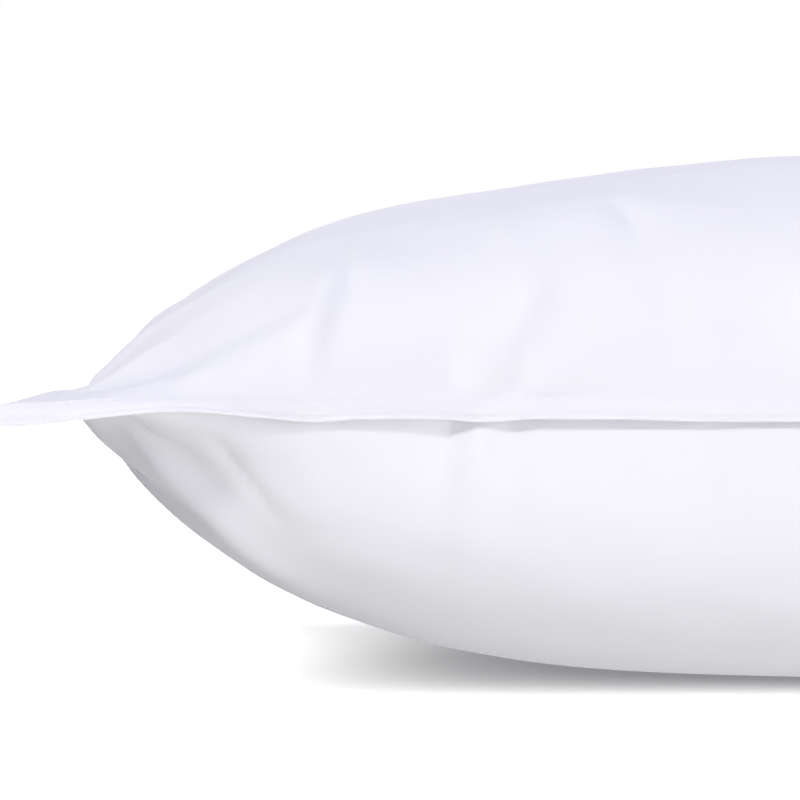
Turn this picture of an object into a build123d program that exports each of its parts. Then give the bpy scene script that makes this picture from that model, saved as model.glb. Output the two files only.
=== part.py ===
from build123d import *
import os

# Bed pillow: two panels of down-proof ticking sewn together round their edges with a
# double-stitched flange, filled with one loose mass of feather and down.
# Millimetres. +X runs along the long sides and +Z up. The origin lies on the surface that
# the pillow rests on, under its middle.

# Outline of the filled pillow, over its four flat corner tips
TIP_LENGTH = 756.0
TIP_WIDTH = 498.0
LONG_SIDE_DRAW_IN = 37.0  # how far the filling pulls the middle of a long side inwards
SHORT_SIDE_DRAW_IN = 33.0
CORNER_RADIUS = 4.0

# Heights above the resting surface
SEAM_HEIGHT = 98.0  # where the two panels meet
LOFT = 178.0

# Cover
TICKING = 0.6  # thickness of a panel
FLANGE_WIDTH = 8.5  # flat edge outside the inner seam
FLANGE_PLY = 1.0  # one panel's share of the flange, with its turned-in allowance

# Swell of each panel between its seams: a small softness rises steeply and stays flat
# across the middle, a large one is rounder
UPPER_LENGTHWISE_SOFTNESS = 0.42
LOWER_LENGTHWISE_SOFTNESS = 0.32
CROSSWISE_SOFTNESS = 0.55
LOWER_PRESS = 1.12  # depth that the lower panel would hang to, over the room it has

# Filling
FILL_CLEARANCE = 0.3

# Lockstitch rows, as distances in from the free edge of the flange
OUTER_ROW_INSET = 1.9
INNER_ROW_INSET = 7.4
CLOSING_ROW_INSET = 4.4
CLOSING_LENGTH = 190.0  # opening that the filling is blown in through
THREAD_WIDTH = 0.5
THREAD_HEIGHT = 0.35

# Blank care label, caught in the flange of the long side at the back
LABEL_WIDTH = 32.0
LABEL_THICKNESS = 0.4
LABEL_CAUGHT = 5.5  # length held between the two plies
LABEL_PROUD = 3.5  # how far it stands out before it turns down
LABEL_DROP = 42.0
LABEL_BEND = 2.5
LABEL_LEFT = 96.0

# Grid that each swelling surface is drawn through
GRID_ACROSS = 41
GRID_ALONG = 61
GRID_REACH = 1.02  # runs just past the seam, so that the outline trims it

UPPER = 1
LOWER = -1
SEAM_PLANE = Plane.XY.offset(SEAM_HEIGHT)
UPPER_RISE = LOFT - SEAM_HEIGHT - FLANGE_PLY
LOWER_RISE = (SEAM_HEIGHT - FLANGE_PLY) * LOWER_PRESS


def half_size(inset):
    """Half length and half width over the corners, that far in from the free edge."""
    return TIP_LENGTH / 2 - inset, TIP_WIDTH / 2 - inset


def outline(plane, inset):
    """Face on that plane with four inward-bowed sides."""
    length, width = half_size(inset)
    side_x = length - SHORT_SIDE_DRAW_IN
    side_y = width - LONG_SIDE_DRAW_IN
    with BuildSketch(plane) as drawn:
        with BuildLine():
            ThreePointArc((-length, -width), (0, -side_y), (length, -width))
            ThreePointArc((length, -width), (side_x, 0), (length, width))
            ThreePointArc((length, width), (0, side_y), (-length, width))
            ThreePointArc((-length, width), (-side_x, 0), (-length, -width))
        make_face()
        fillet(drawn.vertices(), CORNER_RADIUS)
    return drawn.sketch


def swell(share, softness):
    """Height from 0 at a seam, where share is 1, to 1 midway between two seams."""
    gap = 1 - share**2
    return (1 + softness) * gap / (gap + softness)


def swelling_face(side, inset, rise):
    """Curved face of one panel over the outline at that inset."""
    length, width = half_size(inset)
    lengthwise = UPPER_LENGTHWISE_SOFTNESS if side == UPPER else LOWER_LENGTHWISE_SOFTNESS
    rows = []
    for i in range(GRID_ALONG):
        u = GRID_REACH * (2 * i / (GRID_ALONG - 1) - 1)
        row = []
        for j in range(GRID_ACROSS):
            v = GRID_REACH * (2 * j / (GRID_ACROSS - 1) - 1)
            x = u * (length - SHORT_SIDE_DRAW_IN * (1 - v**2))
            y = v * (width - LONG_SIDE_DRAW_IN * (1 - u**2))
            height = rise * swell(u, lengthwise) * swell(v, CROSSWISE_SOFTNESS)
            row.append((x, y, SEAM_HEIGHT + side * (FLANGE_PLY + height)))
        rows.append(row)
    return Face.make_surface_from_array_of_points(rows)


def half_body(side, skin):
    """Solid between the seam plane and one panel, that far inside the panel's outer face."""
    inset = FLANGE_WIDTH + skin
    rise = (UPPER_RISE if side == UPPER else LOWER_RISE) - skin
    room = LOFT if side == UPPER else SEAM_HEIGHT - skin
    with BuildPart() as half:
        extrude(swelling_face(side, inset, rise), amount=LOFT, dir=(0, 0, -side))
        extrude(outline(SEAM_PLANE, inset), amount=side * room, mode=Mode.INTERSECT)
    return half.part


def band(plane, outer_inset, inner_inset, height):
    """Flat band that follows the outline, between two distances in from the free edge."""
    with BuildPart() as strip:
        extrude(outline(plane, outer_inset), amount=height)
        extrude(outline(plane, inner_inset), amount=height, mode=Mode.SUBTRACT)
    return strip.part


def thread_row(side, inset):
    """Thread lying along one row of stitches on one face of the flange."""
    face = SEAM_PLANE.offset(side * FLANGE_PLY)
    return band(face, inset - THREAD_WIDTH / 2, inset + THREAD_WIDTH / 2, side * THREAD_HEIGHT)


def panel(side, label):
    """One sewn panel: its swollen skin, its ply of the flange, and room for the label."""
    with BuildPart() as cover:
        add(half_body(side, 0))
        add(half_body(side, TICKING), mode=Mode.SUBTRACT)
        add(band(SEAM_PLANE, 0, FLANGE_WIDTH + TICKING, side * FLANGE_PLY))
        add(label, mode=Mode.SUBTRACT)
    return cover.part


# Care label: a strip that starts between the plies, stands out and hangs down
label_middle = LABEL_LEFT + LABEL_WIDTH / 2
edge_at_label = TIP_WIDTH / 2 - LONG_SIDE_DRAW_IN * (1 - (label_middle / (TIP_LENGTH / 2)) ** 2)
label_height = SEAM_HEIGHT + LABEL_THICKNESS / 2
with BuildPart() as care_label:
    with BuildSketch(Plane.YZ.offset(LABEL_LEFT)):
        with BuildLine() as label_line:
            FilletPolyline(
                (edge_at_label - LABEL_CAUGHT, label_height),
                (edge_at_label + LABEL_PROUD, label_height),
                (edge_at_label + LABEL_PROUD, label_height - LABEL_DROP),
                radius=LABEL_BEND,
            )
        trace(label_line.line, LABEL_THICKNESS)
    extrude(amount=LABEL_WIDTH)

with BuildPart() as upper_panel:
    add(panel(UPPER, care_label.part))

with BuildPart() as lower_panel:
    add(panel(LOWER, care_label.part))

with BuildPart() as feather_down_fill:
    add(half_body(UPPER, TICKING + FILL_CLEARANCE))
    add(half_body(LOWER, TICKING + FILL_CLEARANCE))

# Each row is a needle thread on the upper face locked with a bobbin thread on the lower
with BuildPart() as inner_row_needle_thread:
    add(thread_row(UPPER, INNER_ROW_INSET))

with BuildPart() as inner_row_bobbin_thread:
    add(thread_row(LOWER, INNER_ROW_INSET))

with BuildPart() as outer_row_needle_thread:
    add(thread_row(UPPER, OUTER_ROW_INSET))

with BuildPart() as outer_row_bobbin_thread:
    add(thread_row(LOWER, OUTER_ROW_INSET))

# Row that closes the filling opening, in the middle of the short side at +X
with BuildPart() as closing_row_thread:
    add(thread_row(UPPER, CLOSING_ROW_INSET))
    add(thread_row(LOWER, CLOSING_ROW_INSET))
    with Locations((TIP_LENGTH / 2, 0, SEAM_HEIGHT)):
        Box(TIP_LENGTH / 2, CLOSING_LENGTH, LOFT, mode=Mode.INTERSECT)

PIECES = {
    "upper_panel": upper_panel,
    "lower_panel": lower_panel,
    "feather_down_fill": feather_down_fill,
    "inner_row_needle_thread": inner_row_needle_thread,
    "inner_row_bobbin_thread": inner_row_bobbin_thread,
    "outer_row_needle_thread": outer_row_needle_thread,
    "outer_row_bobbin_thread": outer_row_bobbin_thread,
    "closing_row_thread": closing_row_thread,
    "care_label": care_label,
}

os.makedirs("parts", exist_ok=True)
for name, piece in PIECES.items():
    piece.part.label = name
    export_step(piece.part, f"parts/{name}.step")
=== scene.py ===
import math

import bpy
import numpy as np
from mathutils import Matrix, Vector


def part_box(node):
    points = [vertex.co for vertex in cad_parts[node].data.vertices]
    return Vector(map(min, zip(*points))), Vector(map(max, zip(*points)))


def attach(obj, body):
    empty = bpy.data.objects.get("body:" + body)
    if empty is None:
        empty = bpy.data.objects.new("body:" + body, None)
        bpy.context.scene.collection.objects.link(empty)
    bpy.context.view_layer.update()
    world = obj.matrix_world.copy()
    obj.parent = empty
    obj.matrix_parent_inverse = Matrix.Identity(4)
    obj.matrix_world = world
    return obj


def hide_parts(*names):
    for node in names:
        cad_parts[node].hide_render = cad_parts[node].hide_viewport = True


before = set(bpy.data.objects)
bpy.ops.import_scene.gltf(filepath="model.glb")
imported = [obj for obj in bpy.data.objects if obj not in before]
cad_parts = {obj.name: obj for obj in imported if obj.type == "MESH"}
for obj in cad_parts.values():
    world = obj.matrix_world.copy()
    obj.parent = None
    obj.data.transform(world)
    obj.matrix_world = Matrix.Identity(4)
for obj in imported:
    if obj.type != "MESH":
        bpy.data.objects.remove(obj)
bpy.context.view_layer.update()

# Bed pillow: a stuffed ticking cover with a double-stitched flange, its threads and label.
# Metres, in the CAD frame: +X along the long sides, +Y towards the side with the label, +Z up.
# The cover is cloth-simulated from its flat pattern over the shape of its filling.

MM = 0.001

# Flat pattern of one panel, and the stitching round it
CUT_LENGTH = 762 * MM
CUT_WIDTH = 508 * MM
FLANGE = 8.5 * MM
INNER_ROW = 1.1 * MM  # out from the seam
OUTER_ROW = 6.6 * MM
CLOSING_ROW = 4.1 * MM
HALF_SEAM_LENGTH = CUT_LENGTH / 2 - FLANGE
HALF_SEAM_WIDTH = CUT_WIDTH / 2 - FLANGE
CELLS_LONG = 110  # cloth cells between the seams; one holds two stitches
CELLS_WIDE = 72
FLANGE_CELLS = 2  # cloth cells across the flange
FINE = 4  # flange stations in one cloth cell, two to a stitch
CORE_STEP = 2  # the panels use every second one

# Filled outline and heights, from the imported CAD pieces
UPPER_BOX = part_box("upper_panel")
LOWER_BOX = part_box("lower_panel")
SEAM_HEIGHT = LOWER_BOX[1][2]
LOFT = UPPER_BOX[1][2]
TIP_X = UPPER_BOX[1][0]
TIP_Y = UPPER_BOX[1][1]
LONG_DRAW_IN = 31 * MM  # how far the middle of a long side is drawn in
SHORT_DRAW_IN = 22 * MM
LONG_BOW = 2  # power of the curve of a drawn-in side: a high one is straight in the middle
SHORT_BOW = 6
LENGTHWISE_SOFTNESS = (0.45, 0.31)  # upper panel, lower panel
CROSSWISE_SOFTNESS = (0.42, 0.50)
EAR = 10 * MM  # the filling starts this far from a corner of the seams
EAR_FADE = 127 * MM  # and has its full height from here
LOWER_PRESS = 1.10  # the lower panel would hang this much deeper than it has room to
FLANGE_SAG = 0.5  # drop of the flange for each unit out, before the cloth settles
SKIN = 1.5 * MM  # the cloth's gap to the floor while it is simulated
LYING_HEIGHT = 0.65 * MM  # middle of the cloth where it lies on the floor, once settled
ARCH_SAMPLES = 2001  # points along an arch when its length is measured

UPPER, LOWER = 0, 1
SIDE_SIGN = (1, -1)

# Cloth simulation: the flat panels swell, then settle
SWELL_FRAME = 6
SETTLE_FRAME = 20
UNEVENNESS = 0.15 * MM  # of the filling, so that the cloth finds where to pucker
UNEVEN_SEED = 7
AT_SEAM = 0.01 * MM  # a point this close to the seam is on it
HOLD_SEAM = 0.05  # how firmly the filling holds the cloth beside the seams
HOLD_MIDDLE = 0.6
HOLD_REACH = 60 * MM  # from the seam to where it holds as in the middle
HOLD_FLANGE = 0.2
HOLD_CORNER = 0.35
CORNER_REACH = 50 * MM
SWELLING_GRIP = 30  # stiffness of that hold while the panels swell
SETTLING_GRIP = 1
SETTLING_FROM = SWELL_FRAME + 3
CONTACT_GAP = 1 * MM
FLOOR_FRICTION = 20
FLOOR_REACH = 2
GRAVITY_SHARE = 0.02  # the filling carries the rest of the cloth's weight
CLOTH_SETTINGS = {
    "quality": 6,
    "mass": 0.003,
    "air_damping": 1.0,
    "tension_stiffness": 15,
    "compression_stiffness": 15,
    "shear_stiffness": 4.5,
    "bending_stiffness": 0.3,
    "bending_stiffness_max": 5,  # in the flange
    "tension_damping": 0.05,
    "compression_damping": 0.05,
    "shear_damping": 0.05,
    "bending_damping": 0.01,
}

# Smoothing after the simulation
CALM_FROM = 25 * MM  # in from the seams, where the filling starts to even the cloth out
CALM_FULL = 80 * MM
EVEN_ROUNDS = 5
CALM_ROUNDS = 10
SEAM_ROUNDS = 12
SEAM_FADE = 30 * MM  # how far the cloth beside a seam goes along with it
LEVELLING = 0.85  # share of a seam's unevenness in height that is taken out

# Ears: the flat corners of the cover
EAR_FLAT = 6 * MM  # closed up to here from the corner of the seams
EAR_FULL = 74 * MM  # and untouched from here
EAR_DROP = 2.5 * MM  # how far the corner itself hangs
EAR_REACH = 32 * MM  # and how far in it draws the cloth down

# Folds of each panel, in flat pattern coordinates (mm): points along the fold, its height
# (below 0 for a valley) and how far it reaches to its left and to its right
NEAR_FOLDS = (
    (UPPER, ((-280, -245), (-278, -225), (-274, -205), (-271, -180), (-274, -140)), 4.4, 11, 4),
    (UPPER, ((-261, -196), (-263, -170), (-270, -120)), 2.4, 3, 8),
    (UPPER, ((-213, -185), (-214, -160), (-217, -130)), 1.8, 3.5, 4),
    (UPPER, ((-217, -245), (-214, -230), (-208, -215), (-204, -195), (-200, -178)), 2.9, 7, 5.5),
    (UPPER, ((-180, -128), (-171, -165), (-166, -192)), -2.6, 6, 3.5),
    (UPPER, ((-165, -195), (-162, -214), (-156, -227), (-151, -245)), -1.4, 4, 3),
    (UPPER, ((-325, -245), (-322, -229), (-316, -212)), -1.4, 3, 2.5),
    (UPPER, ((-296, -243), (-291, -226), (-281, -205)), 1.3, 5, 4),
    (UPPER, ((-240, -243), (-236, -222), (-230, -196)), 1.0, 8, 6),
    (UPPER, ((-118, -244), (-116, -215), (-121, -180)), 1.3, 7, 5),
    (LOWER, ((-312, -236), (-306, -223), (-300, -211), (-290, -196), (-278, -176)), -1.7, 3, 4),
    (LOWER, ((-334, -227), (-327, -220), (-316, -214)), 1.5, 6, 6),
    (LOWER, ((-352, -222), (-338, -208), (-325, -192), (-307, -176), (-283, -146), (-255, -105)),
     4.2, 18, 10),
    (LOWER, ((-362, -235), (-330, -236), (-290, -237), (-215, -238)), 3.2, 7, 15),
    (LOWER, ((-277, -243), (-272, -228), (-262, -212)), -1.4, 5, 4),
    (LOWER, ((-219, -244), (-222, -228), (-224, -205)), 1.2, 9, 8),
    (LOWER, ((-150, -243), (-147, -228), (-149, -212)), -0.8, 6, 5),
)

FOLD_WIDTH = 0.75  # share of its width where a fold starts
FOLD_WIDENING = 0.5
FOLD_RISEN = 0.3  # share of its length where it has its full height
FOLD_FADING = 0.45
FOLD_ROUNDING = 0.05  # of its crest
FOLD_POWER = 1.6

# Gathers round the other seams (mm): ranges that each one is drawn from
GATHER_SEED = 11
SHOWN_TO = -95  # the near side up to here has only the folds above
GATHER_MARGIN = 22  # from the ends of a side
GATHER_START = 2  # in from the seam
GATHER_STEPS = (22, 58)
GATHER_LENGTHS = (28, 85)
GATHER_LEANS = (-0.25, 0.25)
GATHER_SPREAD = 0.25  # they fan out towards the ears
GATHER_WAVER = 1.2
GATHER_SHARES = (0, 0.35, 0.7, 1)
GATHER_HEIGHTS = (0.6, 2.5)
GATHER_SENSES = (1, 1, -0.6)  # two ridges to each valley
GATHER_WIDTHS = (3, 9)
EAR_FOLD_TURNS = (28, 47, 64)  # degrees from the long side
EAR_FOLD_WAVER = (-5, 5)
EAR_FOLD_STATIONS = (8, 35, 65, 100)
EAR_FOLD_HEIGHTS = (0.8, 2.2)
EAR_FOLD_WIDTHS = (5, 6)

# Unevenness of the filling and of the cloth: seed, size and height of the waves (mm), and the
# distances from the seam (mm) between which they come up
FILLING_LUMPS = (
    (3, 95, 0.9, 20, 90),
    (5, 30, 0.16, 4, 25),
)
PUCKERS = (7, 11, 0.16)  # beside the seam only
PUCKER_START = 3 * MM
PUCKER_FADE = 9 * MM
WAVES = 14
WAVE_SIZES = (0.7, 1.6)  # range of each wave's size, as a share of the size given
FOLD_START = 3.5 * MM  # folds and lumps come up from the seam over this distance
LYING_FROM = 1.5 * MM  # and die out where the cloth lies on the floor
LYING_TO = 14 * MM

# Flange: distance out from the seam and half thickness at each line along it
FLANGE_LINES = (
    (0.0, 0.60), (0.5, 0.62), (1.1, 0.54), (1.8, 0.70), (3.2, 0.92), (5.0, 0.92),
    (6.0, 0.72), (6.6, 0.42), (7.2, 0.70), (7.9, 0.62), (8.3, 0.36), (8.5, 0.0),
)
FLANGE_OUT = np.array([out for out, _ in FLANGE_LINES]) * MM
FLANGE_HALF = np.array([half for _, half in FLANGE_LINES]) * MM
BORDER = len(FLANGE_LINES) - 1

# Position along the near side and droop in degrees, then the dips: place, extra droop, width
NEAR_DROOP = (
    (-0.372, 66), (-0.350, 50), (-0.325, 36), (-0.310, 44), (-0.296, 64), (-0.262, 71),
    (-0.172, 71), (-0.150, 88), (-0.115, 88), (-0.090, 76), (0.25, 76), (0.30, 52),
    (0.33, 40), (0.372, 64),
)
NEAR_DIPS = (
    (-0.279, 24, 0.009), (-0.222, 24, 0.009), (-0.060, 16, 0.010),
    (0.010, 12, 0.012), (0.066, 18, 0.009), (0.152, 14, 0.012), (0.221, 20, 0.009),
)

# Droop of the flange on the other sides, in degrees: its mean, and how much it wavers
FAR_TILT = (58, 8)
LEFT_TILT = (40, 10)
RIGHT_TILT = (50, 10)
NEAR_WAVER = 2
WAVER_LENGTH = 40  # flange stations
DROOP_ROUNDS = 12
FLANGE_CURL = 0.45  # share of the droop that comes towards the free edge
CORNER_BLEND = 4  # power that joins the droops of two sides at a corner
PINCH = 0.14 * MM  # how much thinner each face is at a needle hole

# Stitches: radius of the thread, sides of its section, and its bow along one stitch (share of the
# way, height in mm)
THREAD_RADIUS = 0.21 * MM
STITCH_SIDES = 5
STITCH_PROFILE = ((0.07, -0.16), (0.28, 0.10), (0.72, 0.10), (0.93, -0.16))
SHORTEST_STITCH = 1.6 * MM
CLOSING_LENGTH = 190 * MM

# Label: a tape folded double
LABEL_LENGTH = 100 * MM  # of tape, before it is folded
LABEL_CAUGHT_LINES = 7  # of the lines across the flange
LABEL_BEND = 3 * MM
LABEL_SWAY = 1.2 * MM
LABEL_SWAY_TURN = 2.1
LABEL_SWAY_START = 0.6
LABEL_SWAY_GROWTH = 1.5  # power along the tape
LABEL_LEAN = (0.04, 0.03)  # along X and Y, for each unit down
LABEL_PLY = 0.2 * MM
LABEL_END = 0.3  # share of the two plies' thickness at the folded end
LABEL_CELLS = 16
LABEL_ROWS = 30

# Colours and surfaces
TICKING_TONE = (0.85, 0.85, 0.87)
TICKING_WEAVE = 0.45 * MM
LABEL_TONE = (0.83, 0.83, 0.84)
LABEL_WEAVE = 0.3 * MM
THREAD_TONE = (0.86, 0.86, 0.88)
WEAVE_STRENGTH = 0.15
WEAVE_DEPTH = 0.05 * MM
WEAVE_WANDER = 1.2
WEAVE_DETAIL = 0.5
WAVE_RATE = 20  # radians in one unit of a wave texture at scale 1
CLOUD_SCALE = 22
CLOUD_DETAIL = 5
CLOUD_SHADES = (0.975, 1.02)
FLOOR_SEEN = (0.4, 0.4, 0.4, 1)  # what the floor shows to the camera
FLOOR_THROWN = (0.0105, 0.0105, 0.0112, 1)  # what the floor throws back on the pillow
FLOOR_HALF = 30
AMBIENT = (0.70, 0.694, 0.81, 1)
SIDE_FLAG = (-0.95, -0.35, 0.7, 1.0)  # X direction from and to which it fades, light left there

# Suns: name, direction they come from, strength, apparent width in degrees and colour
FLOOR_WASH = ("floor_wash", (-0.8, -0.5, 0.8), 26.0, 115, (1, 0.99, 0.98))  # whitens the floor
PILLOW_SUNS = (
    ("key_light", (-0.45, -0.85, 0.46), 1.55, 5, (1, 0.985, 0.985)),
    ("floor_glow", (0.45, -0.15, -1.0), 2.28, 50, (0.98, 0.97, 1)),  # stands for a lit table
    ("front_fill", (0.0, -1.0, -0.5), 0.71, 80, (1, 0.985, 0.99)),
)

# Camera
VIEW_WIDTH = 250.7 * MM  # seen across the picture, at the near seam
VIEW_DISTANCE = 1.8
VIEW_AZIMUTH = math.radians(-1.0)
VIEW_ELEVATION = math.radians(1.3)
VIEW_MIDDLE = (-0.2440, -0.215, SEAM_HEIGHT - 1.6 * MM)


def swell(gap, softness):
    """Height from 0 at a seam to 1 midway; gap is 1 minus the squared share of the way out."""
    return (1 + softness) * gap / (gap + softness)


def smoothstep(low, high, value):
    """Smooth rise from 0 where the value is low to 1 where it is high."""
    share = np.clip((value - low) / (high - low), 0, 1)
    return share * share * (3 - 2 * share)


def even_share(half, height, softness):
    """Turns a share of the cloth's length into a share of the span that the cloth arches over."""
    share = np.linspace(0, 1, ARCH_SAMPLES)
    rise = height * swell(1 - share**2, softness)
    steps = np.hypot(np.diff(half * share), np.diff(rise))
    along = np.concatenate([[0], np.cumsum(steps)])
    return lambda cloth: np.interp(cloth, along / along[-1], share)


def pattern_lines(half_cut, half_seam, cells):
    """Grid lines across the flat pattern: core lines, with FLANGE_CELLS more on each flange."""
    core = np.linspace(-half_seam, half_seam, cells + 1)
    outer = np.array([half_seam + FLANGE / 2, half_cut])
    return np.concatenate([-outer[::-1], core, outer])


def filled_shape(xs, ys, side):
    """Where each point of the flat pattern lies on the filling, and the flange beyond it."""
    sign = SIDE_SIGN[side]
    lengthwise, crosswise = LENGTHWISE_SOFTNESS[side], CROSSWISE_SOFTNESS[side]
    rise = LOFT - SEAM_HEIGHT if side == UPPER else SEAM_HEIGHT
    flat_x, flat_y = np.meshgrid(np.abs(xs), np.abs(ys), indexing="ij")
    share_x = np.minimum(1, flat_x / HALF_SEAM_LENGTH)
    share_y = np.minimum(1, flat_y / HALF_SEAM_WIDTH)
    span_x, span_y = TIP_X - FLANGE, TIP_Y - FLANGE
    arch_x = even_share(span_x - SHORT_DRAW_IN, rise, lengthwise)(share_x)
    arch_y = even_share(span_y - LONG_DRAW_IN, rise, crosswise)(share_y)
    # A line near a seam arches less than one across the middle, so it spreads more evenly
    u = share_x + (arch_x - share_x) * swell(1 - share_y**2, crosswise)
    v = share_y + (arch_y - share_y) * swell(1 - share_x**2, lengthwise)
    beyond_x = np.maximum(0, flat_x - HALF_SEAM_LENGTH)
    beyond_y = np.maximum(0, flat_y - HALF_SEAM_WIDTH)
    x = u * (span_x - SHORT_DRAW_IN * (1 - v**SHORT_BOW)) + beyond_x
    y = v * (span_y - LONG_DRAW_IN * (1 - u**LONG_BOW)) + beyond_y
    bulge = swell(1 - u**2, lengthwise) * swell(1 - v**2, crosswise)
    to_corner = np.hypot((1 - share_x) * HALF_SEAM_LENGTH, (1 - share_y) * HALF_SEAM_WIDTH)
    bulge *= smoothstep(EAR, EAR_FADE, to_corner)
    press = LOWER_PRESS if side == LOWER else 1
    droop = FLANGE_SAG * np.maximum(beyond_x, beyond_y)
    z = SEAM_HEIGHT + sign * rise * press * bulge - droop
    sign_x = np.where(xs < 0, -1, 1)[:, None]
    sign_y = np.where(ys < 0, -1, 1)[None, :]
    return np.stack([x * sign_x, y * sign_y, np.maximum(z, SKIN)], axis=-1)


def lay_out():
    """Vertex numbers of the two sewn panels, with one shared flange, and their faces."""
    xs = pattern_lines(CUT_LENGTH / 2, HALF_SEAM_LENGTH, CELLS_LONG)
    ys = pattern_lines(CUT_WIDTH / 2, HALF_SEAM_WIDTH, CELLS_WIDE)
    shape = (len(xs), len(ys))
    number = np.arange(shape[0] * shape[1]).reshape(shape)
    inside = np.zeros(shape, bool)
    off_seam = slice(FLANGE_CELLS + 1, -FLANGE_CELLS - 1)
    inside[off_seam, off_seam] = True
    lower = number.copy()
    lower[inside] = number.size + np.arange(inside.sum())
    core = slice(FLANGE_CELLS, -FLANGE_CELLS)
    quads = []
    for layer, grid in ((UPPER, number), (LOWER, lower)):
        corners = np.stack([grid[:-1, :-1], grid[1:, :-1], grid[1:, 1:], grid[:-1, 1:]], -1)
        if layer == LOWER:
            corners = corners[core, core, ::-1]
        quads.append(corners.reshape(-1, 4))
    return xs, ys, number, lower, inside, np.concatenate(quads)


def gather(upper, lower, inside):
    """One list of points: the whole upper grid, then the lower points off the seam."""
    return np.concatenate([upper.reshape(-1, 3), lower[inside]])


def level_square(name, half):
    """A level square at the height of the floor."""
    mesh = bpy.data.meshes.new(name)
    corners = [(-half, -half, 0), (half, -half, 0), (half, half, 0), (-half, half, 0)]
    mesh.from_pydata(corners, [], [(0, 1, 2, 3)])
    square = bpy.data.objects.new(name, mesh)
    bpy.context.scene.collection.objects.link(square)
    return square


def stuff_cover():
    """Sews two flat panels, swells them over the filling and lets the cloth settle.

    The springs keep the lengths of the flat pattern, so the seams draw in and pucker as the
    panels arch. Returns the upper and lower panels as grids of points, seam to seam."""
    xs, ys, number, lower_number, inside, quads = lay_out()
    upper, lower = (filled_shape(xs, ys, side) for side in (UPPER, LOWER))
    flat = np.zeros(upper.shape)
    flat[..., 0] = xs[:, None]
    flat[..., 1] = ys[None, :]
    flat[..., 2] = SEAM_HEIGHT
    rest = gather(flat, flat, inside)
    filled = gather(upper, lower, inside)
    filled += np.random.default_rng(UNEVEN_SEED).normal(0, UNEVENNESS, filled.shape)
    core = slice(FLANGE_CELLS, -FLANGE_CELLS)

    mesh = bpy.data.meshes.new("cover_cloth")
    mesh.from_pydata(rest.tolist(), [], quads.tolist())
    cloth = bpy.data.objects.new("cover_cloth", mesh)
    bpy.context.scene.collection.objects.link(cloth)
    cloth.shape_key_add(name="flat")
    swollen = cloth.shape_key_add(name="filled")
    swollen.data.foreach_set("co", filled.ravel())
    swollen.value = 0
    swollen.keyframe_insert("value", frame=1)
    swollen.value = 1
    swollen.keyframe_insert("value", frame=SWELL_FRAME)

    to_seam = np.minimum(
        HALF_SEAM_LENGTH - np.abs(rest[:, 0]), HALF_SEAM_WIDTH - np.abs(rest[:, 1])
    )
    to_corner = np.hypot(
        CUT_LENGTH / 2 - np.abs(rest[:, 0]), CUT_WIDTH / 2 - np.abs(rest[:, 1])
    )
    hold = HOLD_SEAM + (HOLD_MIDDLE - HOLD_SEAM) * np.clip(to_seam / HOLD_REACH, 0, 1)
    hold[to_seam < -AT_SEAM] = HOLD_FLANGE
    hold = np.maximum(hold, HOLD_CORNER * np.clip(1 - to_corner / CORNER_REACH, 0, 1))
    holding = cloth.vertex_groups.new(name="filling")
    stiff = cloth.vertex_groups.new(name="flange")
    for point, weight in enumerate(hold):
        holding.add([point], float(weight), "REPLACE")
    stiff.add(np.flatnonzero(to_seam < AT_SEAM).tolist(), 1.0, "REPLACE")

    ground = level_square("cloth_floor", FLOOR_REACH)
    ground.modifiers.new("collision", "COLLISION")
    ground.collision.thickness_outer = CONTACT_GAP
    ground.collision.cloth_friction = FLOOR_FRICTION

    modifier = cloth.modifiers.new("cloth", "CLOTH")
    settings = modifier.settings
    for name, value in CLOTH_SETTINGS.items():
        setattr(settings, name, value)
    settings.vertex_group_bending = "flange"
    settings.effector_weights.gravity = GRAVITY_SHARE
    settings.vertex_group_mass = "filling"
    settings.pin_stiffness = SWELLING_GRIP
    settings.keyframe_insert("pin_stiffness", frame=SWELL_FRAME + 1)
    settings.pin_stiffness = SETTLING_GRIP
    settings.keyframe_insert("pin_stiffness", frame=SETTLING_FROM)
    modifier.collision_settings.distance_min = CONTACT_GAP
    modifier.collision_settings.use_self_collision = False
    scene = bpy.context.scene
    scene.frame_start = 1
    scene.frame_end = SETTLE_FRAME
    modifier.point_cache.frame_end = SETTLE_FRAME
    for step in range(1, SETTLE_FRAME + 1):
        scene.frame_set(step)
    settled = cloth.evaluated_get(bpy.context.evaluated_depsgraph_get())
    points = np.empty(len(rest) * 3)
    settled.data.vertices.foreach_get("co", points)
    points = points.reshape(-1, 3)
    for spent in (cloth, ground):
        bpy.data.objects.remove(spent)
    return points[number][core, core], points[lower_number][core, core]


def finer(grid, times, axis):
    """Catmull-Rom curve through the points along one axis, with more points on it."""
    grid = np.moveaxis(grid, axis, 0)
    before = 2 * grid[:1] - grid[1:2]
    after = 2 * grid[-1:] - grid[-2:-1]
    line = np.concatenate([before, grid, after])
    a, b, c, d = line[:-3], line[1:-2], line[2:-1], line[3:]
    parts = []
    for step in range(times):
        t = step / times
        parts.append(
            0.5 * (2 * b + (c - a) * t + (2 * a - 5 * b + 4 * c - d) * t**2
                   + (3 * b - a - 3 * c + d) * t**3)
        )
    woven = np.stack(parts, 1).reshape(-1, *grid.shape[1:])
    return np.moveaxis(np.concatenate([woven, grid[-1:]]), 0, axis)


def blurred(grid, rounds):
    """The same grid of points with its inner points averaged with their neighbours."""
    out = grid.copy()
    for _ in range(rounds):
        mid = out[1:-1, 1:-1]
        near = out[:-2, 1:-1] + out[2:, 1:-1] + out[1:-1, :-2] + out[1:-1, 2:]
        out[1:-1, 1:-1] = 0.5 * mid + 0.125 * near
    return out


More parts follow.
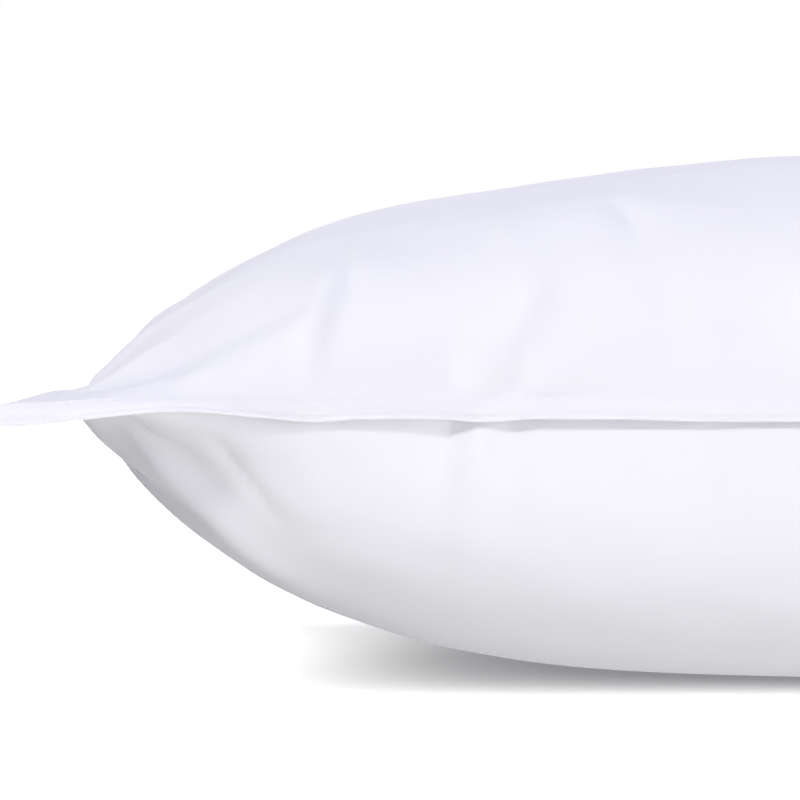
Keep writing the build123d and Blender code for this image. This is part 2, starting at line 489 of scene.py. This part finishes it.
def from_sides(panel):
    """Distance from the short and from the long seams, in the flat pattern."""
    nx, ny = panel.shape[:2]
    xs = HALF_SEAM_LENGTH - np.abs(np.linspace(-HALF_SEAM_LENGTH, HALF_SEAM_LENGTH, nx))
    ys = HALF_SEAM_WIDTH - np.abs(np.linspace(-HALF_SEAM_WIDTH, HALF_SEAM_WIDTH, ny))
    return xs[:, None], ys[None, :]


def calm_middle(panel):
    """Evens out the ripples away from the seams, where the filling keeps the cloth smooth."""
    share = smoothstep(CALM_FROM, CALM_FULL, np.minimum(*from_sides(panel)))[..., None]
    even = blurred(panel, EVEN_ROUNDS)
    return even + share * (blurred(even, CALM_ROUNDS) - even)


def evened(curve, rounds):
    """A curve of points with its inner points averaged with their neighbours."""
    out = curve.copy()
    for _ in range(rounds):
        out[1:-1] = 0.5 * out[1:-1] + 0.25 * (out[:-2] + out[2:])
    return out


def even_seams(panels):
    """Takes the kinks out of the seams, levels them, and carries the cloth beside them along."""
    for axis in (1, 0):
        turned = [np.swapaxes(panel, 0, 1 - axis) for panel in panels]
        near = from_sides(panels[0])[axis].ravel()
        for side in (slice(None, len(near) // 2), slice(len(near) // 2, None)):
            end = 0 if side.start is None else -1
            seam = turned[0][:, end]
            shift = evened(seam, SEAM_ROUNDS) - seam
            shift[:, 2] += LEVELLING * (SEAM_HEIGHT - seam[:, 2] - shift[:, 2])
            for panel in turned:
                panel[:, side] += shift[:, None] * np.exp(-near[side] / SEAM_FADE)[None, :, None]
    return panels


def press_ears(panels):
    """Flattens the corners of the cover, where no filling reaches, and lets them hang a little."""
    short, long = from_sides(panels[0])
    to_corner = np.hypot(short, long)
    full = smoothstep(EAR_FLAT, EAR_FULL, to_corner)
    middle = (panels[UPPER][..., 2] + panels[LOWER][..., 2]) / 2
    middle += (SEAM_HEIGHT - middle) * (1 - full)
    drop = EAR_DROP * np.exp(-((to_corner / EAR_REACH) ** 2))
    for panel in panels:
        panel[..., 2] = middle + (panel[..., 2] - middle) * full - drop
    return panels


def scattered_folds():
    """Gathers round the other seams: short folds that run in from the seam, and at the ears."""
    rng = np.random.default_rng(GATHER_SEED)
    folds = []
    half_x, half_y = HALF_SEAM_LENGTH / MM, HALF_SEAM_WIDTH / MM
    for side in (UPPER, LOWER):
        for across, sign in ((1, 1), (1, -1), (0, 1), (0, -1)):
            half_along, half_in = (half_x, half_y) if across else (half_y, half_x)
            at = -half_along + GATHER_MARGIN
            while at < half_along - GATHER_MARGIN:
                shown = across and sign < 0 and at < SHOWN_TO
                long = rng.uniform(*GATHER_LENGTHS)
                lean = rng.uniform(*GATHER_LEANS) + GATHER_SPREAD * (at / half_along) ** 3
                points = []
                for share in GATHER_SHARES:
                    along = at - lean * long * share + rng.normal(0, GATHER_WAVER)
                    inwards = sign * (half_in - GATHER_START - long * share)
                    points.append((along, inwards) if across else (inwards, along))
                height = rng.uniform(*GATHER_HEIGHTS) * rng.choice(GATHER_SENSES)
                if not shown:
                    left, right = rng.uniform(*GATHER_WIDTHS), rng.uniform(*GATHER_WIDTHS)
                    folds.append((side, points, height, left, right))
                at += rng.uniform(*GATHER_STEPS)
        for x_sign, y_sign in ((1, 1), (1, -1), (-1, 1)):  # the near left ear is listed above
            for turn in EAR_FOLD_TURNS:
                angle = math.radians(turn + rng.uniform(*EAR_FOLD_WAVER))
                points = [
                    (x_sign * (half_x - reach * math.cos(angle)),
                     y_sign * (half_y - reach * math.sin(angle)))
                    for reach in EAR_FOLD_STATIONS
                ]
                folds.append((side, points, rng.uniform(*EAR_FOLD_HEIGHTS), *EAR_FOLD_WIDTHS))
    return folds


def fold_rise(xs, ys, points, height, left, right):
    """Height that one fold adds at each point of a panel's grid."""
    points = np.array(points, float) * MM
    legs = np.diff(points, axis=0)
    lengths = np.hypot(*legs.T)
    total = lengths.sum()
    nearest = np.full((len(xs), len(ys)), np.inf)
    signed = np.zeros_like(nearest)
    share = np.zeros_like(nearest)
    before = 0
    for start, leg, length in zip(points, legs, lengths):
        off_x, off_y = xs[:, None] - start[0], ys[None, :] - start[1]
        t = np.clip((off_x * leg[0] + off_y * leg[1]) / length**2, 0, 1)
        gap = np.hypot(off_x - t * leg[0], off_y - t * leg[1])
        closer = gap < nearest
        side = np.sign(leg[0] * off_y - leg[1] * off_x) * np.sign(leg[1] or 1)
        nearest = np.where(closer, gap, nearest)
        signed = np.where(closer, side, signed)
        share = np.where(closer, (before + t * length) / total, share)
        before += length
    width = np.where(signed > 0, left, right) * MM * (FOLD_WIDTH + FOLD_WIDENING * share)
    along = smoothstep(0, FOLD_RISEN, share) * (1 - smoothstep(FOLD_FADING, 1.0, share))
    from_crest = np.sqrt((nearest / width) ** 2 + FOLD_ROUNDING) ** FOLD_POWER
    profile = np.exp(-from_crest + FOLD_ROUNDING ** (FOLD_POWER / 2))
    return height * MM * along * profile


def lumps(xs, ys, seed, size, height):
    """Soft uneven swelling where the filling has gathered: a few smooth waves."""
    rng = np.random.default_rng(seed)
    total = np.zeros((len(xs), len(ys)))
    for _ in range(WAVES):
        angle, phase = rng.uniform(0, 2 * math.pi, 2)
        wave = 2 * math.pi / (size * MM * rng.uniform(*WAVE_SIZES))
        total += np.sin(wave * (xs[:, None] * math.cos(angle) + ys[None] * math.sin(angle)) + phase)
    return total / math.sqrt(WAVES) * height * MM


def crease(panels):
    """Adds the folds, the lumps of the filling and the fine puckers beside the seams."""
    out = []
    for side, panel in enumerate(panels):
        nx, ny = panel.shape[:2]
        xs = np.linspace(-HALF_SEAM_LENGTH, HALF_SEAM_LENGTH, nx)
        ys = np.linspace(-HALF_SEAM_WIDTH, HALF_SEAM_WIDTH, ny)
        rise = np.zeros((nx, ny))
        for fold_side, points, height, left, right in NEAR_FOLDS + tuple(scattered_folds()):
            if fold_side == side:
                rise += fold_rise(xs, ys, points, height, left, right)
        to_seam = np.minimum(*from_sides(panel))
        for seed, size, height, start, whole in FILLING_LUMPS:
            swelling = lumps(xs, ys, seed + side, size, height)
            rise += swelling * smoothstep(start * MM, whole * MM, to_seam)
        seed, size, height = PUCKERS
        pucker = lumps(xs, ys, seed + side, size, height)
        rise += pucker * smoothstep(0, PUCKER_START, to_seam) * np.exp(-to_seam / PUCKER_FADE)
        if side == LOWER:
            rise *= smoothstep(LYING_FROM, LYING_TO, panel[..., 2])
        rise *= smoothstep(0, FOLD_START, to_seam)
        out.append(panel + rise[..., None] * grid_normals(panel, SIDE_SIGN[side]))
    return out


def side_noise(count, seed, length):
    """Smooth random wave along a side, with about one swing in each length of stations."""
    rng = np.random.default_rng(seed)
    knots = rng.normal(0, 1, max(4, count // length + 4))
    at = np.linspace(1, len(knots) - 2, count)
    whole = np.floor(at).astype(int).clip(1, len(knots) - 3)
    t = at - whole
    a, b, c, d = (knots[whole + k] for k in (-1, 0, 1, 2))
    return 0.5 * (2 * b + (c - a) * t + (2 * a - 5 * b + 4 * c - d) * t**2
                  + (3 * b - a - 3 * c + d) * t**3)


def flange_side(seam, outward, tilt):
    """Middle surface of the flange along one side, as rows of points out from the seam."""
    along = np.gradient(seam, axis=0)
    out = np.cross(along, (0, 0, 1.0))
    out *= np.sign((out * outward).sum(1))[:, None]
    out /= np.linalg.norm(out, axis=1)[:, None]
    rows = [seam]
    for line in range(1, len(FLANGE_OUT)):
        reach = FLANGE_OUT[line] - FLANGE_OUT[line - 1]
        share = 1 - FLANGE_CURL + FLANGE_CURL * FLANGE_OUT[line] / FLANGE
        angle = (tilt * share)[:, None]
        rows.append(rows[-1] + reach * (np.cos(angle) * out + np.sin(angle) * (0, 0, -1.0)))
    return np.stack(rows, 1)


def along_near_side(count):
    """Droop of the flange along the near long side: level at the ears, with a few dips."""
    x = np.linspace(-HALF_SEAM_LENGTH, HALF_SEAM_LENGTH, count)
    dips = sum(
        depth * np.exp(-(((x - place) / width) ** 2))
        for place, depth, width in NEAR_DIPS
    )
    return evened(np.interp(x, *zip(*NEAR_DROOP)), DROOP_ROUNDS) + dips


def add_flange(upper, lower, tilts):
    """Full grids of both faces of the cover: the panels with the flange all round them."""
    near, far = (flange_side(upper[:, j], (0, s, 0), tilts[name])
                 for j, s, name in ((0, -1, "near"), (-1, 1, "far")))
    left, right = (flange_side(upper[i], (s, 0, 0), tilts[name])
                   for i, s, name in ((0, -1, "left"), (-1, 1, "right")))
    nx, ny = upper.shape[:2]
    full = []
    for panel in (upper, lower):
        grid = np.zeros((nx + 2 * BORDER, ny + 2 * BORDER, 3))
        grid[BORDER:-BORDER, BORDER:-BORDER] = panel
        grid[BORDER:-BORDER, BORDER::-1] = near
        grid[BORDER:-BORDER, -BORDER - 1:] = far
        grid[BORDER::-1, BORDER:-BORDER] = left.transpose(1, 0, 2)
        grid[-BORDER - 1:, BORDER:-BORDER] = right.transpose(1, 0, 2)
        for across, x_side in ((slice(BORDER, None, -1), left), (slice(-BORDER - 1, None), right)):
            for up, y_side, end in ((slice(BORDER, None, -1), near, 0),
                                    (slice(-BORDER - 1, None), far, -1)):
                x_end = 0 if x_side is left else -1
                tip = x_side[end][0]
                reach_x, reach_y = x_side[end][:, None] - tip, y_side[x_end][None, :] - tip
                corner = tip + reach_x + reach_y
                droops = reach_x[..., 2] ** CORNER_BLEND + reach_y[..., 2] ** CORNER_BLEND
                corner[..., 2] = tip[2] - droops ** (1 / CORNER_BLEND)  # near the lower of its sides
                grid[across, up] = corner
        full.append(grid)
    return full


def grid_normals(grid, sign):
    """Unit normals of a grid of points, turned over where sign is below 0."""
    along = np.gradient(grid, axis=0)
    across = np.gradient(grid, axis=1)
    normal = sign * np.cross(along, across)
    return normal / np.maximum(np.linalg.norm(normal, axis=-1), 1e-12)[..., None]


def out_of_seam(count_core):
    """Line number out from the seam of each grid line: 0 over the core."""
    line = np.zeros(count_core + 2 * BORDER, int)
    line[:BORDER] = np.arange(BORDER, 0, -1)
    line[-BORDER:] = np.arange(1, BORDER + 1)
    return line


def station_holes(count_core):
    """1 at the stations where the needle went through, 0 midway between two holes."""
    hole = np.zeros(count_core + 2 * BORDER)
    hole[BORDER:-BORDER] = 1 - np.arange(count_core) % 2
    return hole


def thicken(full):
    """Moves both faces apart by the cloth's half thickness, pinched at the rows of stitches."""
    nx, ny = full[0].shape[:2]
    line = np.maximum(out_of_seam(nx - 2 * BORDER)[:, None], out_of_seam(ny - 2 * BORDER)[None, :])
    half = FLANGE_HALF[line]
    rows = (np.isclose(FLANGE_OUT[line], INNER_ROW) | np.isclose(FLANGE_OUT[line], OUTER_ROW))
    hole = np.maximum(
        station_holes(nx - 2 * BORDER)[:, None] * (out_of_seam(ny - 2 * BORDER) > 0)[None, :],
        station_holes(ny - 2 * BORDER)[None, :] * (out_of_seam(nx - 2 * BORDER) > 0)[:, None],
    )
    half = half - PINCH * rows * hole
    return [
        grid + half[..., None] * grid_normals(grid, sign)
        for grid, sign in zip(full, SIDE_SIGN)
    ]


def cover_faces(nx, ny):
    """Faces of the closed cover: quads, and one row whose seam edges hold the finer stations."""
    upper = np.arange(nx * ny).reshape(nx, ny)
    lower = upper + nx * ny
    lower[0], lower[-1] = upper[0], upper[-1]
    lower[:, 0], lower[:, -1] = upper[:, 0], upper[:, -1]
    faces = []
    for layer, grid in ((UPPER, upper), (LOWER, lower)):
        found = []
        for i in range(nx - 1):
            for j in range(ny - 1):
                core = BORDER <= i < nx - 1 - BORDER and BORDER <= j < ny - 1 - BORDER
                if not core:
                    found.append([grid[i, j], grid[i + 1, j], grid[i + 1, j + 1], grid[i, j + 1]])
        step = CORE_STEP
        last_i, last_j = nx - 1 - BORDER, ny - 1 - BORDER
        for i in range(BORDER, last_i, step):
            for j in range(BORDER, last_j, step):
                ring = [grid[i, j]]
                if j == BORDER:
                    ring += [grid[i + 1, j]]
                ring += [grid[i + step, j]]
                if i + step == last_i:
                    ring += [grid[i + step, j + 1]]
                ring += [grid[i + step, j + step]]
                if j + step == last_j:
                    ring += [grid[i + 1, j + step]]
                ring += [grid[i, j + step]]
                if i == BORDER:
                    ring += [grid[i, j + 1]]
                found.append(ring)
        faces += [face[::-1] for face in found] if layer == LOWER else found
    return faces


def new_piece(name, points, faces, material, replaces):
    """A smooth-shaded mesh piece that rides on the pillow and stands for its CAD nodes."""
    mesh = bpy.data.meshes.new(name)
    mesh.from_pydata(np.asarray(points).tolist(), [], [[int(v) for v in f] for f in faces])
    mesh.polygons.foreach_set("use_smooth", [True] * len(mesh.polygons))
    mesh.materials.append(material)
    mesh.update()
    piece = bpy.data.objects.new(name, mesh)
    bpy.context.scene.collection.objects.link(piece)
    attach(piece, "root")
    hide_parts(*replaces)
    return piece


def make_cover(faces_of_cover, material):
    """The closed cover, from the full grids of its upper and lower faces."""
    nx, ny = faces_of_cover[0].shape[:2]
    points = np.concatenate([grid.reshape(-1, 3) for grid in faces_of_cover])
    faces = cover_faces(nx, ny)
    used = np.unique(np.concatenate([np.array(face) for face in faces]))
    renumber = -np.ones(len(points), int)
    renumber[used] = np.arange(len(used))
    faces = [renumber[face] for face in faces]
    cover = new_piece(
        "ticking_cover", points[used], faces, material,
        ["upper_panel", "lower_panel", "feather_down_fill"],
    )
    flat_x = flat_lines(nx, HALF_SEAM_LENGTH)
    flat_y = flat_lines(ny, HALF_SEAM_WIDTH)
    flat = np.stack(np.meshgrid(flat_x, flat_y, indexing="ij"), -1).reshape(-1, 2)
    flat = np.concatenate([flat, flat])[used]
    lay_pattern(cover, flat)
    return cover


def lay_pattern(piece, flat):
    """Keeps where each point lies in the flat cut cloth, for the weave to follow."""
    layer = piece.data.uv_layers.new(name="pattern")
    loops = np.empty(len(piece.data.loops), int)
    piece.data.loops.foreach_get("vertex_index", loops)
    layer.data.foreach_set("uv", flat[loops].ravel())


def flat_lines(count, half_seam):
    """Where the grid lines of the finished cover lie across the flat cut cloth."""
    core = np.linspace(-half_seam, half_seam, count - 2 * BORDER)
    outer = half_seam + FLANGE_OUT[1:]
    return np.concatenate([-outer[::-1], core, outer])


def stitch(start, end, normal):
    """Points and faces of one stitch: a short thread bowed between two needle holes."""
    chord = end - start
    ahead = chord / np.linalg.norm(chord)
    side = np.cross(normal, ahead)
    side /= np.linalg.norm(side)
    up = np.cross(ahead, side)
    turn = np.arange(STITCH_SIDES) * 2 * math.pi / STITCH_SIDES
    ring = THREAD_RADIUS * (np.cos(turn)[:, None] * side + np.sin(turn)[:, None] * up)
    points = [start + share * chord + height * MM * up + ring for share, height in STITCH_PROFILE]
    n = STITCH_SIDES
    faces = []
    for k in range(len(STITCH_PROFILE) - 1):
        for a in range(n):
            b = (a + 1) % n
            faces.append([k * n + a, k * n + b, (k + 1) * n + b, (k + 1) * n + a])
    last = (len(STITCH_PROFILE) - 1) * n
    faces.append(list(range(n))[::-1])
    faces.append([last + a for a in range(n)])
    return np.concatenate(points), faces


def row_path(grid, out):
    """Grid indices of the needle holes along one row, as four sides in order."""
    nx, ny = grid.shape[:2]
    k = int(np.argmin(np.abs(FLANGE_OUT - out)))
    low = BORDER - k
    high_i, high_j = nx - 1 - low, ny - 1 - low
    along_x = [low] + list(range(BORDER, nx - BORDER, 2)) + [high_i]
    along_y = [low] + list(range(BORDER, ny - BORDER, 2)) + [high_j]
    return [
        [(i, low) for i in along_x], [(high_i, j) for j in along_y],
        [(i, high_j) for i in along_x[::-1]], [(low, j) for j in along_y[::-1]],
    ]


def thread_row(name, grid, normals, sides, material, node):
    """All the stitches of one row on one face of the flange."""
    points, faces, count = [], [], 0
    for side in sides:
        for a, b in zip(side[:-1], side[1:]):
            if np.linalg.norm(grid[b] - grid[a]) < SHORTEST_STITCH:
                continue
            made, rings = stitch(grid[a], grid[b], normals[a] + normals[b])
            points.append(made)
            faces += [[v + count for v in ring] for ring in rings]
            count += len(made)
    return new_piece(name, np.concatenate(points), faces, material, [node])


def make_closing_row(full, material):
    """Machine stitches that close the filling opening, on both faces of the flange."""
    points, faces, count = [], [], 0
    for face, sign in zip(full, SIDE_SIGN):
        normals = grid_normals(face, sign)
        line = int(np.argmin(np.abs(FLANGE_OUT - CLOSING_ROW)))
        i = face.shape[0] - 1 - BORDER + line
        share = (CLOSING_ROW - FLANGE_OUT[line - 1]) / (FLANGE_OUT[line] - FLANGE_OUT[line - 1])
        j_middle = face.shape[1] // 2
        reach = round(CLOSING_LENGTH / 2 / CUT_WIDTH * (face.shape[1] - 2 * BORDER) / 2) * 2
        path = face[i - 1] + share * (face[i] - face[i - 1])
        for j in range(j_middle - reach, j_middle + reach, 2):
            made, rings = stitch(path[j], path[j + 2], normals[i, j] + normals[i, j + 2])
            points.append(made)
            faces += [[v + count for v in ring] for ring in rings]
            count += len(made)
    return new_piece(
        "closing_stitches", np.concatenate(points), faces, material,
        ["closing_row_thread"],
    )


def make_label(full, material):
    """Blank satin tape, folded double: caught in the flange, bent over its edge and hanging."""
    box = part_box("care_label")
    edge = (full[UPPER][:, -1] + full[LOWER][:, -1]) / 2
    inside = (full[UPPER][:, -1 - LABEL_CAUGHT_LINES] + full[LOWER][:, -1 - LABEL_CAUGHT_LINES]) / 2
    xs = np.linspace(box[0][0], box[1][0], LABEL_CELLS + 1)
    order = np.argsort(edge[:, 0])
    start, lip = (
        np.stack([np.interp(xs, row[order, 0], row[order, axis]) for axis in (1, 2)], -1)
        for row in (inside, edge)
    )
    leave = (lip - start) / np.linalg.norm(lip - start, axis=1)[:, None]
    caught = float(np.linalg.norm(lip - start, axis=1).mean())
    hanging = LABEL_LENGTH / 2 - caught
    steps = np.linspace(0, hanging, LABEL_ROWS + 1)
    slack = LABEL_BEND * (1 - np.exp(-steps / LABEL_BEND))
    drop = steps - slack
    share = (xs - xs[0]) / (xs[-1] - xs[0]) * 2 - 1
    turned = np.sin(share[:, None] * LABEL_SWAY_TURN + LABEL_SWAY_START)
    sway = turned * (steps / hanging)[None] ** LABEL_SWAY_GROWTH * LABEL_SWAY
    aside, outwards = (lean * drop[None] for lean in LABEL_LEAN)
    middle = np.zeros((len(xs), len(steps), 3))
    middle[..., 0] = xs[:, None] + aside
    middle[..., 1] = lip[:, None, 0] + leave[:, None, 0] * slack[None] + sway + outwards
    middle[..., 2] = lip[:, None, 1] + leave[:, None, 1] * slack[None] - drop[None]
    middle = np.concatenate([np.zeros((len(xs), 1, 3)), middle], 1)
    middle[:, 0, 0] = xs
    middle[:, 0, 1:] = start
    normal = grid_normals(middle, 1)
    rows = middle.shape[1]
    plies = np.ones(rows)
    plies[-1] = LABEL_END
    half = LABEL_PLY * plies[None, :, None] * normal
    points = np.concatenate([(middle + half).reshape(-1, 3), (middle - half).reshape(-1, 3)])
    front = np.arange(len(xs) * rows).reshape(len(xs), rows)
    back = front + front.size
    faces = []
    for grid, turn in ((front, 1), (back, -1)):
        cells = np.stack([grid[:-1, :-1], grid[1:, :-1], grid[1:, 1:], grid[:-1, 1:]], -1)
        faces += cells.reshape(-1, 4)[:, ::turn].tolist()
    rim = np.concatenate([front[:, 0], front[-1, 1:], front[-2::-1, -1], front[0, -2:0:-1]])
    for a, b in zip(rim, np.roll(rim, -1)):
        faces.append([int(b), int(a), int(a) + front.size, int(b) + front.size])
    label = new_piece("care_label_tape", points, faces, material, ["care_label"])
    along = np.concatenate([[-caught], steps])
    flat = np.stack(np.meshgrid(xs, along, indexing="ij"), -1).reshape(-1, 2)
    lay_pattern(label, np.concatenate([flat, flat]))
    return label


def principled(name, color, roughness):
    """A new material, and its shader."""
    material = bpy.data.materials.new(name)
    material.use_nodes = True
    shader = material.node_tree.nodes["Principled BSDF"]
    shader.inputs["Base Color"].default_value = (*color, 1)
    shader.inputs["Roughness"].default_value = roughness
    return material, shader


def add_weave(material, shader, pitch, tone):
    """Fine plain weave as relief, laid along the flat pattern, and a slight cloudiness."""
    nodes, links = material.node_tree.nodes, material.node_tree.links
    pattern = nodes.new("ShaderNodeUVMap")
    pattern.uv_map = "pattern"
    height = nodes.new("ShaderNodeMath")
    height.operation = "ADD"
    for axis, end in (("X", height.inputs[0]), ("Y", height.inputs[1])):
        yarn = nodes.new("ShaderNodeTexWave")
        yarn.wave_type = "BANDS"
        yarn.bands_direction = axis
        yarn.inputs["Scale"].default_value = 2 * math.pi / pitch / WAVE_RATE
        yarn.inputs["Distortion"].default_value = WEAVE_WANDER
        yarn.inputs["Detail Scale"].default_value = WEAVE_DETAIL
        links.new(pattern.outputs["UV"], yarn.inputs["Vector"])
        links.new(yarn.outputs["Fac"], end)
    relief = nodes.new("ShaderNodeBump")
    relief.inputs["Strength"].default_value = WEAVE_STRENGTH
    relief.inputs["Distance"].default_value = WEAVE_DEPTH
    links.new(height.outputs[0], relief.inputs["Height"])
    links.new(relief.outputs["Normal"], shader.inputs["Normal"])
    place = nodes.new("ShaderNodeTexCoord")
    cloud = nodes.new("ShaderNodeTexNoise")
    cloud.inputs["Scale"].default_value = CLOUD_SCALE
    cloud.inputs["Detail"].default_value = CLOUD_DETAIL
    links.new(place.outputs["Object"], cloud.inputs["Vector"])
    shades = nodes.new("ShaderNodeMix")
    shades.data_type = "RGBA"
    for end, shade in zip("AB", CLOUD_SHADES):
        shades.inputs[end].default_value = (*(shade * np.array(tone)), 1)
    links.new(cloud.outputs["Fac"], shades.inputs["Factor"])
    links.new(shades.outputs["Result"], shader.inputs["Base Color"])


def ticking_material():
    material, shader = principled("cotton_ticking", TICKING_TONE, roughness=0.8)
    shader.inputs["Sheen Weight"].default_value = 0.12
    shader.inputs["Sheen Roughness"].default_value = 0.4
    add_weave(material, shader, TICKING_WEAVE, TICKING_TONE)
    return material


def label_material():
    material, shader = principled("satin_tape", LABEL_TONE, roughness=0.38)
    shader.inputs["Sheen Weight"].default_value = 0.1
    add_weave(material, shader, LABEL_WEAVE, LABEL_TONE)
    return material


def thread_material():
    return principled("sewing_thread", THREAD_TONE, roughness=0.6)[0]


def point_at(obj, place, target):
    """Puts a camera or a light in its place, turned to the target."""
    obj.location = place
    obj.rotation_euler = (Vector(target) - Vector(place)).to_track_quat("-Z", "Y").to_euler()
    bpy.context.scene.collection.objects.link(obj)


def make_camera():
    """Low view of the near long side, with the left end of the pillow in the frame."""
    camera = bpy.data.cameras.new("camera")
    camera.lens = camera.sensor_width * VIEW_DISTANCE / VIEW_WIDTH
    obj = bpy.data.objects.new("camera", camera)
    middle = Vector(VIEW_MIDDLE)
    back = Vector((-math.sin(VIEW_AZIMUTH), -math.cos(VIEW_AZIMUTH), math.tan(VIEW_ELEVATION)))
    point_at(obj, middle + VIEW_DISTANCE * back.normalized(), middle)
    bpy.context.scene.camera = obj


def make_stage():
    """A pale floor, which throws back less light than it shows to the camera."""
    floor = level_square("floor", FLOOR_HALF)
    material, shader = principled("pale_floor", FLOOR_SEEN[:3], roughness=0.9)
    shader.inputs["Specular IOR Level"].default_value = 0
    nodes, links = material.node_tree.nodes, material.node_tree.links
    path = nodes.new("ShaderNodeLightPath")
    tone = nodes.new("ShaderNodeMix")
    tone.data_type = "RGBA"
    tone.inputs["A"].default_value = FLOOR_THROWN
    tone.inputs["B"].default_value = FLOOR_SEEN
    links.new(path.outputs["Is Camera Ray"], tone.inputs["Factor"])
    links.new(tone.outputs["Result"], shader.inputs["Base Color"])
    floor.data.materials.append(material)
    return floor


def linked_group(name, members):
    """A collection that only tells a light what it lights, or what shades it."""
    group = bpy.data.collections.new(name)
    for member in members:
        group.objects.link(member)
    return group


def soft_sun(name, direction, strength, angle, color, receivers, blockers):
    """A soft sun from a direction, so many degrees wide, on the receivers and past the blockers."""
    light = bpy.data.lights.new(name, "SUN")
    light.energy = strength
    light.angle = math.radians(angle)
    light.color = color
    light.cycles.use_multiple_importance_sampling = False  # wide suns that overlap lose light by it
    obj = bpy.data.objects.new(name, light)
    point_at(obj, direction, (0, 0, 0))
    obj.light_linking.receiver_collection = linked_group(name + "_receivers", receivers)
    obj.light_linking.blocker_collection = linked_group(name + "_blockers", blockers)


def make_lights(floor, pieces):
    """White tent: pale surroundings, four suns on the pillow or the floor, and a white backdrop."""
    world = bpy.data.worlds.new("studio")
    bpy.context.scene.world = world
    world.use_nodes = True
    nodes, links = world.node_tree.nodes, world.node_tree.links
    seen = nodes["Background"]
    seen.inputs["Color"].default_value = (1, 1, 1, 1)
    ambient = nodes.new("ShaderNodeBackground")
    ambient.inputs["Color"].default_value = AMBIENT
    around = nodes.new("ShaderNodeTexCoord")
    parts = nodes.new("ShaderNodeSeparateXYZ")
    links.new(around.outputs["Generated"], parts.inputs[0])
    side_flag = nodes.new("ShaderNodeMapRange")  # a dark flag beside the left end
    for setting, value in zip(("From Min", "From Max", "To Min", "To Max"), SIDE_FLAG):
        side_flag.inputs[setting].default_value = value
    links.new(parts.outputs["X"], side_flag.inputs["Value"])
    links.new(side_flag.outputs["Result"], ambient.inputs["Strength"])
    path = nodes.new("ShaderNodeLightPath")
    mix = nodes.new("ShaderNodeMixShader")
    links.new(path.outputs["Is Camera Ray"], mix.inputs[0])
    links.new(ambient.outputs[0], mix.inputs[1])
    links.new(seen.outputs[0], mix.inputs[2])
    links.new(mix.outputs[0], nodes["World Output"].inputs["Surface"])
    soft_sun(*FLOOR_WASH, [floor], pieces)
    for sun in PILLOW_SUNS:
        soft_sun(*sun, pieces, pieces)


upper, lower = press_ears(even_seams([calm_middle(panel) for panel in stuff_cover()]))
upper, lower = (finer(finer(panel, FINE, 0), FINE, 1) for panel in (upper, lower))
lower[..., 2] = np.maximum(lower[..., 2] - SKIN, LYING_HEIGHT)
upper, lower = crease((upper, lower))
nx, ny = upper.shape[:2]
tilts = {
    side: np.radians(mean + waver * side_noise(count, seed, WAVER_LENGTH))
    for side, mean, waver, count, seed in (
        ("near", along_near_side(nx), NEAR_WAVER, nx, 1),
        ("far", *FAR_TILT, nx, 2),
        ("left", *LEFT_TILT, ny, 3),
        ("right", *RIGHT_TILT, ny, 4),
    )
}
full = thicken(add_flange(upper, lower, tilts))
pieces = [make_cover(full, ticking_material())]
thread = thread_material()
for face, sign, kind in ((full[UPPER], 1, "needle"), (full[LOWER], -1, "bobbin")):
    normals = grid_normals(face, sign)
    for row, out in (("inner", INNER_ROW), ("outer", OUTER_ROW)):
        node = f"{row}_row_{kind}_thread"
        pieces.append(
            thread_row(f"{row}_{kind}_stitches", face, normals, row_path(face, out), thread, node)
        )
pieces.append(make_closing_row(full, thread_material()))
pieces.append(make_label(full, label_material()))
floor = make_stage()
make_lights(floor, pieces)
make_camera()
bpy.context.scene.view_settings.view_transform = "Standard"
